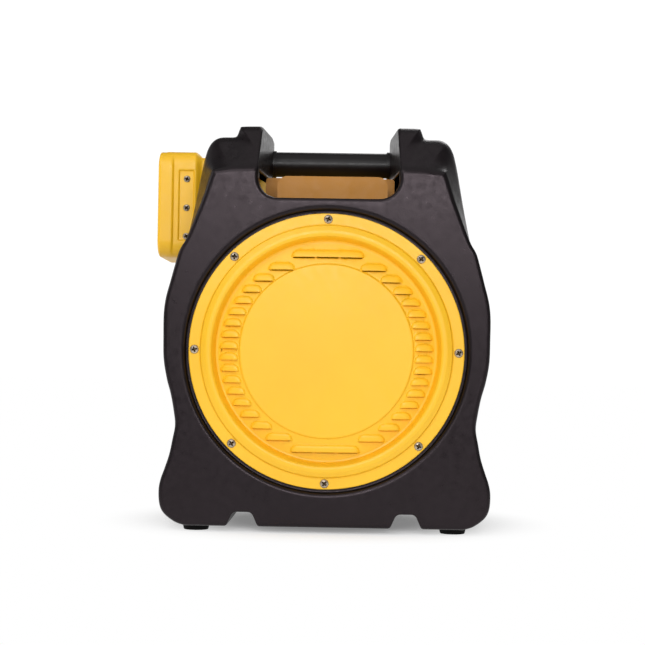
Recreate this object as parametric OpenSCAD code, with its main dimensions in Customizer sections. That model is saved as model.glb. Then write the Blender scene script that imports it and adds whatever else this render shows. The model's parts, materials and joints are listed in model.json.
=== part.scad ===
// Portable centrifugal blower for inflatables and drying: a two-part moulded
// frame with a carry handle, a scroll casing with a side outlet, a louvred
// round cover on each face, and an induction motor driving one impeller.
//
// Frame of reference: +Z up, front face toward -Y, outlet toward -X.
// The origin is on the floor, under the shaft, on the joint between the
// front and rear halves.  Sizes are millimetres.

/* [Frame] */
// Depth over the front and rear faces
body_depth = 340; // [320:2:360]
// Wall of the moulded frame
wall = 3.5; // [3:0.5:4]
// Depth of the slanted shoulder behind each face
shoulder_depth = 48; // [40:2:56]
// Rounding of the outer edges of the faces
edge_round = 4.5; // [3:0.5:5]
// Half width of the handle gap at the face
gap_half = 85; // [80:1:88]
// Height of the floor of the handle gap
gap_floor = 398; // [392:1:400]
// Diameter of the handle bar
handle_dia = 32; // [28:1:34]
// Height of the centre of the handle bar
handle_z = 456.5; // [454:0.5:460]

/* [Covers] */
// Height of the shaft and of both covers
axis_z = 216; // [214:1:218]
// Radius of a cover
cover_r = 164; // [160:1:166]
// Radius of the circle of cover screws
cover_screw_circle = 157; // [155:1:158]
// Number of screws in each cover
cover_screws_n = 8; // [6:1:10]
// Spacing of the louvre rows
louvre_pitch = 13.5; // [12.5:0.1:14]
// Height of a louvre's hood
louvre_h = 8.6; // [7:0.1:9]
// Louvre rows on each side of the disc
louvre_rows = 16; // [12:2:16]

/* [Air path] */
// Radius of the impeller
impeller_r = 112; // [105:1:116]
// Number of impeller blades
blade_n = 12; // [8:1:16]
// Depth of the scroll casing
scroll_depth = 140; // [130:2:140]
// Reach of the outlet from the shaft
outlet_reach = 214; // [208:1:220]
// Height of the underside of the outlet
outlet_low = 331.5; // [330:0.5:336]
// Height of the top of the outlet
outlet_top = 463; // [458:0.5:466]

/* [Motor] */
// Radius of the motor can
motor_r = 78; // [70:1:80]
// Radius of the shaft
shaft_r = 7.5; // [6:0.5:8]

/* [Feet] */
// Height of the rubber feet
foot_h = 7; // [5:1:10]
// Radius of a foot
foot_r = 16; // [14:1:18]
// Distance of the feet from the middle, across
foot_x = 154; // [150:1:156]
// Distance of the feet from the joint, front to rear
foot_y = 136; // [130:1:137]

/* [Hidden] */
$fn = 72;
half_depth = body_depth / 2;
seat = 7;            // face to the ledge that the cover sits on
band_start = 146;    // depth where the face of the frame ends
ledge_r = 150;       // inner radius of that ledge
recess_r = cover_r + 4;
sy = scroll_depth / 2;
outlet_half = 77;    // half depth of the outlet neck
neck_end = -131;     // inner end of the outlet neck
nozzle_screw_x = -178.5;
nozzle_rows = [357, 392.5, 428.5];
box_mid = 4;         // the terminal box stands a little right of the middle
switch_pos = [-60, 244.5];
button_pos = [-60, 211];
inlet_pos = [-128, 58];
neck_step = -168;    // where the outlet neck narrows
side_x = 194.3;      // flat band on the sides
tie_points = [[-172, 45], [172, 45], [-160, 125], [160, 125], [-172, 300],
              [172, 300], [112, 420]];
// Posts for the scroll's screws: [x, z, depth of the face behind the post].
mount_points = [[-156, 258, 159.5], [-115, 101, 159.5], [122, 94, 159.5],
                [178.5, 262, 166.5]];

black = [0.16, 0.14, 0.15];
yellow = [0.99, 0.75, 0.2];
ochre = [0.8, 0.56, 0.18];
steel = [0.72, 0.72, 0.74];
dark = [0.1, 0.1, 0.11];
grey = [0.5, 0.5, 0.53];
copper = [0.72, 0.4, 0.2];
brass = [0.8, 0.65, 0.3];

// Right half of the outline of the face, from the bottom up: [x, z].
face_half = [
    [165, 7], [177, 11], [190, 21], [195.5, 32], [196.7, 49], [194.3, 62],
    [190.8, 72], [184.9, 90], [181.3, 108], [178.3, 126], [180.7, 145],
    [184.3, 163], [189.6, 182], [193.5, 205], [194.3, 232], [194.3, 258],
    [192, 277], [187, 296], [182, 315], [176.5, 334], [169.5, 346],
    [161.8, 364], [149.3, 396], [140.9, 421], [137.5, 429.5],
    [131.5, 430.6], [125.5, 431.2], [119.5, 431.6], [115.5, 431.9],
    [111.5, 432.2], [107, 432.5], [85, 433], [60, 433.2]];

// Right half of the outline behind the shoulder, point for point.
crest_half = [
    [166, 7], [178.5, 10], [192, 19], [197, 31], [197.5, 49], [195.8, 62],
    [192.5, 72], [187, 90], [183.6, 108], [180.8, 126], [182.8, 145],
    [186, 163], [190.6, 182], [194.3, 205], [194.3, 232], [194.3, 258],
    [193, 277], [189, 296], [184.5, 315], [178, 334], [173, 346],
    [169, 364], [162.5, 398], [156.5, 432], [153, 449], [149.5, 461],
    [143.5, 470.5], [134, 475.6], [117, 476.4], [113.5, 479.5],
    [110.5, 487], [105, 489.7], [60, 490]];

// ---------------------------------------------------------------- helpers

function unit(v) = v / norm(v);
function outward(a, b) = unit([b[1] - a[1], a[0] - b[0]]);

// A half outline moved inward by d, or outward by a negative d.
function inset(half, d) = [for (i = [0:len(half) - 1])
    let (p = half[i],
         before = i == 0 ? [0, p[1]] : half[i - 1],
         after = i == len(half) - 1 ? [0, p[1]] : half[i + 1],
         n1 = outward(before, p), n2 = outward(p, after))
    p - d * (n1 + n2) / (1 + n1 * n2)];

// A closed ring of points at depth y from a half outline.
function ring(half, y) = concat(
    [for (p = half) [p[0], y, p[1]]],
    [for (i = [len(half) - 1:-1:0]) [-half[i][0], y, half[i][1]]]);

// A solid skinned over rings that run from front to rear.
module loft(rings) {
    m = len(rings[0]);
    last = (len(rings) - 1) * m;
    cap = [for (i = [0:m / 2 - 2]) [m - 1 - i, m - 2 - i, i + 1, i]];
    far = [for (q = cap) [last + q[3], last + q[2], last + q[1], last + q[0]]];
    sides = [for (j = [0:len(rings) - 2], k = [0:m - 1])
        let (a = j * m + k, b = j * m + (k + 1) % m)
        each [[a, b, b + m], [a, b + m, a + m]]];
    polyhedron([for (r = rings) each r], concat(cap, sides, far));
}

// Draws toward the front from the shaft: local z runs along -Y.
module on_axis() { translate([0, 0, axis_z]) rotate([90, 0, 0]) children(); }

// A cylinder along Y between two depths.
module rod_y(x, z, r, y0, y1) {
    translate([x, y1, z]) rotate([90, 0, 0]) cylinder(r = r, h = y1 - y0);
}

module ring_y(r_out, r_in, y0, y1) {
    difference() {
        rod_y(0, axis_z, r_out, y0, y1);
        rod_y(0, axis_z, r_in, y0 - 1, y1 + 1);
    }
}

module around(n, start = 0) {
    for (i = [0:n - 1]) rotate([0, 0, start + i * 360 / n]) children();
}

// A rounded rectangle, w along x and h along y, centred.
module rounded(w, h, r) {
    square([w - 2 * r, h], center = true);
    square([w, h - 2 * r], center = true);
    for (sx = [-1, 1], sy = [-1, 1])
        translate([sx * (w / 2 - r), sy * (h / 2 - r)]) circle(r = r);
}

// The same, standing across X between two x values.
module rounded_x(x0, x1, half_y, z0, z1, r) {
    translate([x0, 0, (z0 + z1) / 2]) rotate([90, 0, 90])
        linear_extrude(x1 - x0) rounded(2 * half_y, z1 - z0, r);
}

module mirrored_y() { mirror([0, 1, 0]) children(); }

// A pan-head screw: the head's seat at the origin, pointing along -z.
module pan_screw(head_r, head_h, shank_r, length) {
    difference() {
        rotate_extrude() polygon([[0, 0], [head_r, 0], [head_r, head_h * 0.35],
            [head_r * 0.86, head_h * 0.75], [head_r * 0.55, head_h],
            [0, head_h]]);
        for (a = [0, 90]) rotate([0, 0, a])
            translate([-head_r * 0.6, -0.5, head_h * 0.45])
                cube([head_r * 1.2, 1, head_h]);
    }
    translate([0, 0, -length]) cylinder(r = shank_r, h = length);
}

// ------------------------------------------------------------ frame halves

// Handle gap, from the bottom up, at half width w and grown by g.
function gap_outline(w, g) = concat(
    [for (a = [0:15:90]) [w - 24 + (24 + g) * sin(a),
                          gap_floor + 24 - (24 + g) * cos(a)]],
    [[w + g, 520]]);

module gap_solid(g) {
    y = half_depth;
    loft([ring(gap_outline(gap_half, g + (g > 0 ? 0 : edge_round)), -y - 0.01),
          ring(gap_outline(gap_half, g + (g > 0 ? 0 : 1.3)), -y + 1.4),
          ring(gap_outline(gap_half, g), -y + edge_round),
          ring(gap_outline(gap_half - 3, g), -y + shoulder_depth),
          ring(gap_outline(gap_half - 10, g), -20),
          ring(gap_outline(gap_half - 10, g), 1)]);
}

module notches(g) {
    for (s = [-1, 1]) translate([s * 97, 1, 0]) rotate([90, 0, 0])
        linear_extrude(half_depth + 2) polygon([[-19 - g, 6], [19 + g, 6],
            [17 + g, 12 + g * 0.5], [13 + g, 21 + g], [9 + g, 24 + g],
            [-9 - g, 24 + g], [-13 - g, 21 + g], [-17 - g, 12 + g * 0.5]]);
}

module half_outer() {
    y = half_depth;
    difference() {
        loft([ring(inset(face_half, edge_round), -y),
              ring(inset(face_half, 1.3), -y + 1.4),
              ring(face_half, -y + edge_round),
              ring(crest_half, -y + shoulder_depth),
              ring(crest_half, -0.15)]);
        gap_solid(0);
        notches(0);
    }
}

module half_inner() {
    y = half_depth;
    difference() {
        loft([ring(inset(face_half, wall + 2.5), -y + wall),
              ring(inset(crest_half, wall), -y + shoulder_depth + 1),
              ring(inset(crest_half, wall), 1)]);
        gap_solid(wall);
        notches(wall);
    }
}

// Each half of the frame is one moulding.  It is drawn as a face, the band of
// walls behind it and the posts that stand on the face inside.
module frame_skin(y0, y1) {
    intersection() {
        difference() { half_outer(); half_inner(); }
        translate([-210, y0, 0]) cube([420, y1 - y0, 500]);
    }
}

// Open space under the handle, behind the lip of the face.
module under_handle() {
    translate([-90, -half_depth + 20, gap_floor - 40]) cube([180, half_depth, 74]);
}

module frame_face() {
    y = half_depth;
    difference() {
        union() {
            frame_skin(-y - 1, -band_start);
            ring_y(recess_r + wall, ledge_r, -y + 1, -y + seat + wall);
            on_axis() around(cover_screws_n)
                translate([cover_screw_circle, 0, y - seat - 16])
                    cylinder(r = 5, h = 14);
            for (p = tie_points) rod_y(p[0], p[1], 8, -y + 2, -band_start);
            for (p = mount_points) rod_y(p[0], p[1], 7, -p[2] - 1, -band_start);
        }
        rod_y(0, axis_z, recess_r, -y - 1, -y + seat);
        rod_y(0, axis_z, ledge_r, -y - 1, -y + 20);
        under_handle();
        on_axis() around(cover_screws_n)
            translate([cover_screw_circle, 0, y - 30]) cylinder(r = 2.15, h = 40);
    }
}

module frame_posts() {
    for (p = tie_points) rod_y(p[0], p[1], 8, -band_start, -0.15);
    for (p = mount_points) difference() {
        rod_y(p[0], p[1], 7, -band_start, -sy - 0.05);
        rod_y(p[0], p[1], 2.15, -sy - 30, -sy + 1);
    }
}

module frame_band() {
    difference() {
        union() {
            frame_skin(-band_start, 1);
            for (s = [-1, 1]) translate([s * foot_x, -foot_y, foot_h])
                cylinder(r = 9, h = 20);
        }
        under_handle();
        outlet_window();
        for (s = [-1, 1]) translate([s * foot_x, -foot_y, foot_h - 1])
            cylinder(r = 2.15, h = 30);
        translate([-90, 0, handle_z]) rotate([0, 90, 0]) cylinder(r = 4.2, h = 180);
    }
}

module outlet_window() {
    translate([-240, -outlet_half - 1, outlet_low - 2])
        cube([240 + neck_end - 0.5, 2 * outlet_half + 2,
              outlet_top - outlet_low + 3.5]);
}

module front_frame_face() { color(black) frame_face(); }

module front_frame_posts() {
    color(black) difference() {
        frame_posts();
        for (p = tie_points) {
            rod_y(p[0], p[1], 3.3, -50, 1);
            rod_y(p[0], p[1], 5.05, -44, -31.95);
        }
    }
}

module front_frame_band() {
    color(black) difference() {
        frame_band();
        translate([-side_x - 5, switch_pos[0], switch_pos[1]])
            rotate([90, 0, 90]) linear_extrude(12) rounded(22, 14.6, 1);
        translate([-side_x - 5, button_pos[0], button_pos[1]])
            rotate([0, 90, 0]) cylinder(r = 5.1, h = 12);
    }
}

module rear_frame_face() {
    color(black) difference() {
        mirrored_y() frame_face();
        for (p = tie_points) {
            rod_y(p[0], p[1], 3.3, -1, half_depth + 1);
            rod_y(p[0], p[1], 7, half_depth - 10, half_depth + 1);
        }
        translate([inlet_pos[0], half_depth + 1, inlet_pos[1]])
            rotate([90, 0, 0]) linear_extrude(8) rounded(28.6, 20.6, 2);
        for (s = [-1, 1])
            rod_y(inlet_pos[0] + s * 20, inlet_pos[1], 1.7, half_depth - 6,
                  half_depth + 1);
    }
}

module rear_frame_posts() {
    color(black) difference() {
        mirrored_y() frame_posts();
        for (p = tie_points) {
            rod_y(p[0], p[1], 3.3, -1, half_depth + 1);
            rod_y(p[0], p[1], 7, half_depth - 10, half_depth + 1);
        }
    }
}

module rear_frame_band() { color(black) mirrored_y() frame_band(); }

module frame_tie_bolts() {
    y = half_depth;
    color(steel) for (p = tie_points) {
        rod_y(p[0], p[1], 3, -48, y - 9.9);
        difference() {
            rod_y(p[0], p[1], 5.5, y - 9.95, y - 4.5);
            translate([p[0], y - 7, p[1]]) rotate([-90, 0, 0])
                cylinder(r = 2.9, h = 4, $fn = 6);
        }
    }
}

module frame_inserts() {
    color(brass) for (p = tie_points) difference() {
        rod_y(p[0], p[1], 5, -43.95, -32);
        rod_y(p[0], p[1], 3.02, -46, -30);
    }
}

module handle_grip() {
    reach = gap_half - 10.05;
    color(black) translate([-reach, 0, handle_z]) rotate([0, 90, 0])
        difference() {
            union() {
                cylinder(r = handle_dia / 2, h = 2 * reach);
                for (h = [0, 2 * reach - 4]) translate([0, 0, h])
                    cylinder(r = handle_dia / 2 + 1.5, h = 4);
            }
            translate([0, 0, -1]) cylinder(r = 4.3, h = 2 * reach + 2);
        }
}

module handle_rod() {
    color(steel) translate([-84, 0, handle_z]) rotate([0, 90, 0])
        cylinder(r = 4, h = 168);
}

module handle_nuts() {
    color(steel) for (s = [0, 1]) mirror([s, 0, 0])
        translate([gap_half - 10 + wall + 0.6, 0, handle_z]) rotate([0, 90, 0])
            difference() {
                union() {
                    cylinder(r = 9, h = 1.2);
                    cylinder(r = 7.2, h = 6.4, $fn = 6);
                }
                translate([0, 0, -1]) cylinder(r = 4.02, h = 9);
            }
}

// ------------------------------------------------------------------ covers

// Height of the cone that carries the louvres, above the joint.
function cone_h(r) = half_depth - 9 + 7 * (131 - r) / 26.5;

// Ends of the hood in a row, from circles round the disc and inside the wall.
function hood_start(row) = sqrt(pow(104.5, 2) - pow(abs(row) - 4.3, 2));
function hood_end(row) = sqrt(pow(127.2 - 7.2 * pow(row / 100.5, 2), 2)
                              - pow(abs(row) - 4.3, 2));

module cover_plan(o) {
    for (s = [-1, 1], k = [0:louvre_rows - 1]) {
        row = (k - (louvre_rows - 1) / 2) * louvre_pitch;
        x0 = hood_start(row);
        x1 = hood_end(row);
        louvre(s * (x0 + x1) / 2, x1 - x0, row - 1 - louvre_h / 2, o);
    }
    louvre(0, 86, 111.6, o);
    louvre(0, 82, -120.2, o);
}

module louvre(x, w, low, o) {
    foot = o > 0 ? -0.4 : 0;
    translate([x, low]) polygon([[-w / 2 + o, foot], [w / 2 - o, foot],
        [w / 2 - o, louvre_h * 0.4], [w / 2 - 4, louvre_h - o],
        [4 - w / 2, louvre_h - o], [o - w / 2, louvre_h * 0.4]]);
}

module cone_band(low, high) {
    rotate_extrude($fn = 144) polygon([[100, cone_h(104.5) + low],
        [104.5, cone_h(104.5) + low], [131, cone_h(131) + low],
        [131, cone_h(131) + high], [104.5, cone_h(104.5) + high],
        [100, cone_h(104.5) + high]]);
}

module cover() {
    h = half_depth;
    on_axis() difference() {
        union() {
            rotate_extrude($fn = 144) polygon([[0, h - 3], [102.5, h - 3],
                [104.5, h - 5], [129, h - 12], [133, h - 12], [139, h - 1],
                [143, h - 1], [148, h - 4.5], [149.6, h - seat],
                [cover_r, h - seat], [cover_r, h - 4], [150.6, h - 4],
                [150, h - 1.5], [143, h + 2], [138, h + 2], [131, h - 9],
                [104.5, h - 2], [103, h], [0, h]]);
            intersection() {
                cone_band(-1, 4.5);
                linear_extrude(h + 20) cover_plan(0);
            }
        }
        intersection() {
            cone_band(-5, 3.2);
            linear_extrude(h + 20) cover_plan(1.2);
        }
        around(cover_screws_n) translate([cover_screw_circle, 0, h - 20])
            cylinder(r = 2.5, h = 30);
    }
}

module cover_screw_set() {
    on_axis() around(cover_screws_n)
        translate([cover_screw_circle, 0, half_depth - 4 + 0.02])
            pan_screw(5, 2.8, 2.1, 16);
}

module front_cover() { color(yellow) cover(); }
module rear_cover() { color(yellow) mirrored_y() cover(); }
module front_cover_screws() { color(steel) cover_screw_set(); }
module rear_cover_screws() { color(steel) mirrored_y() cover_screw_set(); }

// ---------------------------------------------------------------- air path

// Outline of the scroll, moved inward by o, with its open end at neck_end.
function scroll_r(a) = 128 + 62 * (a - 115) / 335;
function scroll_outline(o) = concat(
    [for (a = [118:6:448]) [(scroll_r(a) - o) * cos(a),
                            axis_z + (scroll_r(a) - o) * sin(a)]],
    [[-2, axis_z + 190 - o], [-30, 407.5 - o], [-60, 413.5 - o * 1.1],
     [-104, 439.5 - o * 1.2], [-122, 453 - o * 1.2],
     [neck_end + 0.5 - (o > 0 ? 1 : 0), 456 - o],
     [neck_end + 0.5 - (o > 0 ? 1 : 0), 335 + o]],
    o > 0 ? [[-58, 338], [-51, 334], [-50, 330.5], [-53.5, 327.6]]
          : [[-62, 335], [-54, 331]]);

module scroll_half() {
    difference() {
        union() {
            translate([0, -0.1, 0]) rotate([90, 0, 0])
                linear_extrude(sy - 0.1) polygon(scroll_outline(0));
            for (p = mount_points) {
                rod_y(p[0], p[1], 10.5, -sy, -sy + 3);
                translate([0, -sy + 3, axis_z])
                    rotate([90, atan2(axis_z - p[1], p[0]), 0])
                    translate([110, -9, 0])
                        cube([norm([p[0], p[1] - axis_z]) - 110, 18, 3]);
            }
        }
        translate([0, 1, 0]) rotate([90, 0, 0])
            linear_extrude(sy - 2) polygon(scroll_outline(3));
        for (p = mount_points) rod_y(p[0], p[1], 2.5, -sy - 1, -sy + 4);
    }
}

module scroll_front() {
    color(yellow) difference() {
        scroll_half();
        rod_y(0, axis_z, 100, -sy - 1, -sy + 4);
        on_axis() around(6, 30) translate([112, 0, sy - 6]) cylinder(r = 1.8, h = 9);
    }
}

module scroll_rear() {
    color(yellow) difference() {
        mirrored_y() scroll_half();
        rod_y(0, axis_z, 26, sy - 4, sy + 1);
        on_axis() around(4, 45) translate([81, 0, -sy - 1]) cylinder(r = 2.7, h = 9);
    }
}

module scroll_screws() {
    color(steel) for (s = [0, 1]) mirror([0, s, 0]) for (p = mount_points)
        translate([p[0], -sy + 3.02, p[1]]) rotate([-90, 0, 0])
            pan_screw(4.5, 2.8, 2.1, 24);
}

module inlet_bellmouth() {
    color(yellow) on_axis() difference() {
        rotate_extrude($fn = 144) polygon([[83, sy - 8], [85, sy - 8],
            [86.8, sy + 0.05], [125, sy + 0.05], [125, sy + 3], [90, sy + 3],
            [93, sy + 11], [99, sy + 18], [106, sy + 21], [106, sy + 23],
            [97.5, sy + 20.5], [91, sy + 13], [87, sy + 3], [84.8, sy - 2]]);
        around(6, 30) translate([112, 0, sy - 1]) cylinder(r = 2, h = 9);
    }
}

module bellmouth_screws() {
    color(steel) on_axis() around(6, 30) translate([112, 0, sy + 3.02])
        pan_screw(2.9, 2, 1.7, 7);
}

// The outlet's outside is 77 half deep up to a step, then narrower.
module outlet_nozzle() {
    reach = outlet_reach;
    color(yellow) difference() {
        union() {
            rounded_x(-reach + 5, -reach + 19, 80, outlet_low, outlet_top, 20);
            rounded_x(-reach + 2, -reach + 5.01, 79, outlet_low + 1,
                      outlet_top - 1, 19);
            rounded_x(-reach, -reach + 2.01, 77.5, outlet_low + 2.5,
                      outlet_top - 2.5, 17.5);
            rounded_x(-reach + 18, neck_step, outlet_half, outlet_low - 0.5,
                      outlet_top + 0.5, 17);
            rounded_x(neck_step - 1, neck_end, outlet_half - 3.5,
                      outlet_low + 2.5, outlet_top - 3, 14);
        }
        rounded_x(-reach - 1, neck_step - 4, 73, outlet_low + 3,
                  outlet_top - 3, 14);
        rounded_x(neck_step - 5, neck_end + 1, 70.2, outlet_low + 5.8,
                  outlet_top - 6.3, 11);
        for (s = [-1, 1]) translate([-188, s * outlet_half - 2, 352])
            cube([18.5, 4, 87]);
        for (z = nozzle_rows) rod_y(nozzle_screw_x, z, 1.8, -90, 90);
    }
}

module outlet_grille() {
    low = outlet_low + 3.1;
    high = outlet_top - 3.1;
    color(steel) {
        difference() {
            rounded_x(-195, -172.1, 72.9, low, high, 13.9);
            rounded_x(-196, -171, 71.3, low + 1.6, high - 1.6, 12.3);
            for (z = nozzle_rows) rod_y(nozzle_screw_x, z, 1.8, -90, 90);
        }
        for (y = [-60:12:60]) translate([-190, y, low + 0.8])
            cylinder(r = 1.25, h = high - low - 1.6);
        for (z = [359:25:434]) translate([-192.6, -72, z]) rotate([-90, 0, 0])
            cylinder(r = 1.6, h = 144);
    }
}

module nozzle_screws() {
    color(steel) for (s = [0, 1], z = nozzle_rows) mirror([0, s, 0])
        translate([nozzle_screw_x, -outlet_half + 2 - 0.02, z])
            rotate([90, 0, 0]) pan_screw(4.2, 2, 1.75, 6);
}

// ---------------------------------------------------------------- impeller

module impeller_backplate() {
    color(grey) difference() {
        ring_y(impeller_r, 15.02, 52, 54.5);
        on_axis() around(6) translate([26, 0, -56]) cylinder(r = 2.02, h = 6);
    }
}

module impeller_shroud() {
    color(grey) ring_y(impeller_r, 87, -58.5, -56.5);
}

// Each blade is one arc, trailing as the wheel turns toward the outlet.
module impeller_blades() {
    color(grey) on_axis() around(blade_n) translate([10.1, -54.3, -51.95])
        rotate([0, 0, -12]) rotate_extrude(angle = 58)
            translate([74, 0]) square([2, 108.4]);
}

module impeller_hub() {
    color(grey) difference() {
        union() {
            ring_y(15, shaft_r + 0.02, 30, 62);
            ring_y(34, 14, 47, 51.95);
        }
        on_axis() around(6) translate([26, 0, -60]) cylinder(r = 2.05, h = 20);
    }
}

module hub_rivets() {
    color(steel) on_axis() around(6) translate([26, 0, -56.6]) {
        translate([0, 0, 0.6]) cylinder(r = 2, h = 9);
        translate([0, 0, 9.65]) cylinder(r1 = 3.6, r2 = 2.4, h = 1.6);
    }
}

module hub_nut() {
    color(steel) on_axis() difference() {
        translate([0, 0, -29.95]) union() {
            cylinder(r = 12, h = 9, $fn = 6);
            cylinder(r = 14, h = 1.5);
        }
        translate([0, 0, -32]) cylinder(r = shaft_r + 0.02, h = 14);
    }
}

// ------------------------------------------------------------------- motor

module motor_shaft() { color(steel) rod_y(0, axis_z, shaft_r, 14, 159); }
module rotor_core() { color(grey) ring_y(37.4, shaft_r + 0.02, 92, 128); }

module cooling_fan() {
    color(black) {
        ring_y(14, shaft_r + 0.02, 151, 158);
        ring_y(60, 13, 151, 152.5);
        on_axis() around(9) translate([11, -0.8, -157.5])
            cube([46, 1.6, 6]);
    }
}

module bearing_outers() {
    color(steel) for (y = [72, 138]) ring_y(17.5, 14.5, y, y + 11);
}

module bearing_inners() {
    color(steel) for (y = [72, 138]) ring_y(10.5, shaft_r + 0.02, y, y + 11);
}

module bearing_balls() {
    color(steel) for (y = [77.5, 143.5]) translate([0, y, axis_z])
        rotate([90, 0, 0]) around(8) translate([12.5, 0, 0])
            sphere(r = 1.95, $fn = 24);
}

module motor_front_bracket() {
    color(grey) difference() {
        union() {
            ring_y(86, 14, 70.05, 78);
            ring_y(26, 14, 77, 85);
        }
        ring_y(17.52, 1, 71.98, 86);
        on_axis() around(4, 45) translate([81, 0, -90]) cylinder(r = 2.7, h = 30);
    }
}

module motor_rear_bracket() {
    color(grey) difference() {
        union() {
            ring_y(86, 12, 141.05, 149.5);
            ring_y(26, 12, 136, 142);
        }
        ring_y(17.52, 1, 130, 149.02);
        on_axis() around(4, 45) translate([81, 0, -160]) cylinder(r = 2.7, h = 30);
        on_axis() around(8) translate([50, 0, -160]) cylinder(r = 11, h = 30);
    }
}

module motor_housing() { color(grey) ring_y(motor_r, motor_r - 3, 78.05, 141); }

module stator_core() {
    color(steel) difference() {
        ring_y(motor_r - 3.05, 38, 92, 128);
        on_axis() around(24) translate([41, -2, -129]) cube([14, 4, 40]);
    }
}

module stator_winding() {
    color(copper) {
        ring_y(62, 40.5, 82, 91.95);
        ring_y(62, 40.5, 128.05, 135.5);
        on_axis() around(24) translate([42, -1.9, -127.9]) cube([12, 3.8, 35.8]);
    }
}

module motor_through_bolts() {
    color(steel) on_axis() around(4, 45) translate([81, 0, 0]) {
        translate([0, 0, -sy + 3.02]) pan_screw(4.8, 2.8, 2.6, 92);
    }
}

module motor_bolt_nuts() {
    color(steel) on_axis() around(4, 45) translate([81, 0, -154.5])
        difference() {
            cylinder(r = 5, h = 4.9, $fn = 6);
            translate([0, 0, -1]) cylinder(r = 2.62, h = 7);
        }
}

// ---------------------------------------------------- terminal box and leads

// The capacitor box stands on the front of the scroll, the terminal box on
// the rear.  Both are drawn as front boxes; the rear one is mirrored.

module box_slab(w, z0, z1, r, y0, y1) {
    translate([box_mid, y1, (z0 + z1) / 2]) rotate([90, 0, 0])
        linear_extrude(y1 - y0) rounded(w, z1 - z0, r);
}

module bracket_plate() {
    difference() {
        translate([0, -sy - 0.05, 400.75]) rotate([90, 0, 0])
            linear_extrude(3) rounded(160, 61.5, 4);
        for (s = [-1, 1]) rod_y(s * 72, 385, 2.2, -80, -60);
    }
}

module box_tray() {
    difference() {
        box_slab(133, 372, 427, 12, -135, -sy - 3.1);
        box_slab(127, 375, 424, 9, -136, -sy - 6);
        rod_y(box_mid + 40, 381, 5.1, -80, -60);
    }
}

module box_lid() { box_slab(133, 372, 427, 12, -138.5, -135.05); }

module box_brackets() {
    color(ochre) { bracket_plate(); mirrored_y() bracket_plate(); }
}

module capacitor_box() { color(ochre) box_tray(); }
module capacitor_box_lid() { color(ochre) box_lid(); }
module terminal_box() { color(ochre) mirrored_y() box_tray(); }
module terminal_box_lid() { color(ochre) mirrored_y() box_lid(); }

module capacitor() {
    color(dark) translate([box_mid - 45, -105, 399]) rotate([0, 90, 0]) {
        cylinder(r = 19, h = 70);
        translate([0, 0, 70]) cylinder(r = 17, h = 2);
        for (s = [-1, 1]) translate([-0.4, s * 6 - 3, 71]) cube([0.8, 6, 9]);
    }
}

module capacitor_clamp() {
    color(steel) translate([box_mid - 16, -105, 399]) rotate([0, 90, 0])
        difference() {
            cylinder(r = 20.2, h = 12);
            translate([0, 0, -1]) cylinder(r = 19.05, h = 14);
        }
}

module terminal_block() {
    color(dark) translate([box_mid - 36, sy + 6.05, 384]) difference() {
        union() {
            cube([72, 14, 24]);
            for (i = [0:6]) translate([i * 11.6, 13, 0]) cube([2.4, 5, 24]);
        }
        for (i = [0:5], z = [6, 18]) translate([i * 11.6 + 7, 16, z])
            rotate([90, 0, 0]) cylinder(r = 2.55, h = 9);
    }
}

module terminal_screws() {
    color(brass) translate([box_mid - 36, sy + 6.05, 384])
        for (i = [0:5], z = [6, 18]) translate([i * 11.6 + 7, 14.02, z])
            rotate([-90, 0, 0]) pan_screw(3.4, 1.8, 2.4, 6);
}

// --------------------------------------------------------------- controls

module on_side(pos) { translate([-side_x, pos[0], pos[1]]) children(); }

module switch_body() {
    color(dark) on_side(switch_pos) difference() {
        union() {
            rotate([90, 0, 90]) translate([0, 0, -2.2]) linear_extrude(2.15)
                rounded(25, 17.4, 2);
            rotate([90, 0, 90]) translate([0, 0, -0.1]) linear_extrude(24)
                rounded(21.8, 14.4, 1);
            for (s = [-1, 1]) translate([23, s * 6 - 2.4, -0.4])
                cube([8, 4.8, 0.8]);
        }
        translate([-4, -9.8, -6]) cube([12, 19.6, 12]);
        translate([3.3, 0, -7]) cylinder(r = 1.25, h = 14);
    }
}

// The rocker rests with its lower end pressed in, at the off position.
module switch_rocker() {
    color([0.6, 0.08, 0.06]) on_side(switch_pos) translate([3.3, 0, 0])
        rotate([0, 0, -8]) {
            translate([0, 0, -5.9]) linear_extrude(11.8) polygon([[-6, -8.8],
                [-5.4, -4.4], [-5.1, 0], [-5.4, 4.4], [-6, 8.8], [-1.6, 8.8],
                [1.6, 4], [1.6, -4], [-1.6, -8.8]]);
            translate([0, 0, -6.8]) cylinder(r = 1.2, h = 13.6);
        }
}

module breaker_body() {
    color(dark) on_side(button_pos) rotate([0, 90, 0]) difference() {
        union() {
            translate([0, 0, -1.6]) cylinder(r = 7.6, h = 1.55);
            translate([0, 0, -0.1]) cylinder(r = 5, h = 10);
            translate([-9, -7, wall + 1]) cube([18, 14, 24]);
        }
        translate([0, 0, -3]) cylinder(r = 3.2, h = 16);
    }
}

module breaker_button() {
    color([0.75, 0.1, 0.08]) on_side(button_pos) rotate([0, 90, 0])
        translate([0, 0, -3]) cylinder(r = 3.15, h = 12);
}

module power_inlet() {
    y = half_depth;
    color(dark) translate([inlet_pos[0], y, inlet_pos[1]]) difference() {
        union() {
            translate([0, 2.2, 0]) rotate([90, 0, 0]) linear_extrude(2.15)
                rounded(50, 24, 4);
            translate([0, 0.1, 0]) rotate([90, 0, 0]) linear_extrude(22)
                rounded(28, 20, 1.8);
        }
        translate([0, 4, 0]) rotate([90, 0, 0]) linear_extrude(19)
            rounded(24.5, 16.5, 3);
        for (s = [-1, 1]) rod_y(s * 20, 0, 1.8, -5, 5);
    }
}

module inlet_pins() {
    color(brass) translate([inlet_pos[0], half_depth, inlet_pos[1]])
        for (p = [[-7, -2], [7, -2], [0, 2]])
            translate([p[0] - 1, -14.95, p[1] - 2]) cube([2, 13, 4]);
}

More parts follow.
